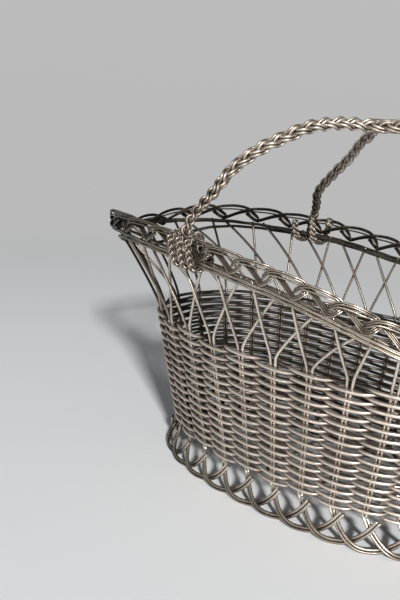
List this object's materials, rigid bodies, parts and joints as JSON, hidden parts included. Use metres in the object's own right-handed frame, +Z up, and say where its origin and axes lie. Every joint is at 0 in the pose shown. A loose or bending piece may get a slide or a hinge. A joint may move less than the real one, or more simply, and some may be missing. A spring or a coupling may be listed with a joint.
{
  "type": "wine bottle holder",
  "caption": "Oval wire cradle with looped foot, woven wall, openwork pouring lip, braided rim and forked rope handle that holds a lying wine bottle for pouring.",
  "frame": {"origin": "middle of the part's outline in plan, on the surface it stands on", "axes": "+Z up; -X toward the pouring lip; +X toward the back, where the handle's stem comes down; Y across the basket"},
  "size_m": [0.2442, 0.1372, 0.1809],
  "materials": {
    "stake_wire": "aged silver plate, satin, with dark brown tarnish in the hollows",
    "weaver_wire": "aged silver plate, satin",
    "rope": "aged silver plate, satin, darker between the strands"
  },
  "bodies": {
    "root": {"stake_01": "stake_wire", "stake_02": "stake_wire", "stake_03": "stake_wire", "stake_04": "stake_wire", "stake_05": "stake_wire", "stake_06": "stake_wire", "stake_07": "stake_wire", "stake_08": "stake_wire", "stake_09": "stake_wire", "stake_10": "stake_wire", "stake_11": "stake_wire", "stake_12": "stake_wire", "stake_13": "stake_wire", "stake_14": "stake_wire", "stake_15": "stake_wire", "stake_16": "stake_wire", "stake_17": "stake_wire", "stake_18": "stake_wire", "stake_19": "stake_wire", "stake_20": "stake_wire", "stake_21": "stake_wire", "stake_22": "stake_wire", "stake_23": "stake_wire", "stake_24": "stake_wire", "stake_25": "stake_wire", "stake_26": "stake_wire", "stake_27": "stake_wire", "stake_28": "stake_wire", "band_wire_outer_lower": "stake_wire", "band_wire_outer_upper": "stake_wire", "band_wire_inner": "stake_wire", "border_strand_a": "stake_wire", "border_strand_b": "stake_wire", "floor_spoke_1": "stake_wire", "floor_spoke_2": "stake_wire", "floor_spoke_3": "stake_wire", "floor_spoke_4": "stake_wire", "floor_spoke_5": "stake_wire", "floor_wire": "stake_wire", "weaver_upper": "weaver_wire", "weaver_lower": "weaver_wire", "handle_rope_near": "rope", "handle_rope_far": "rope", "lashing_near": "rope", "lashing_far": "rope", "lashing_back": "rope"}
  },
  "joints": []
}
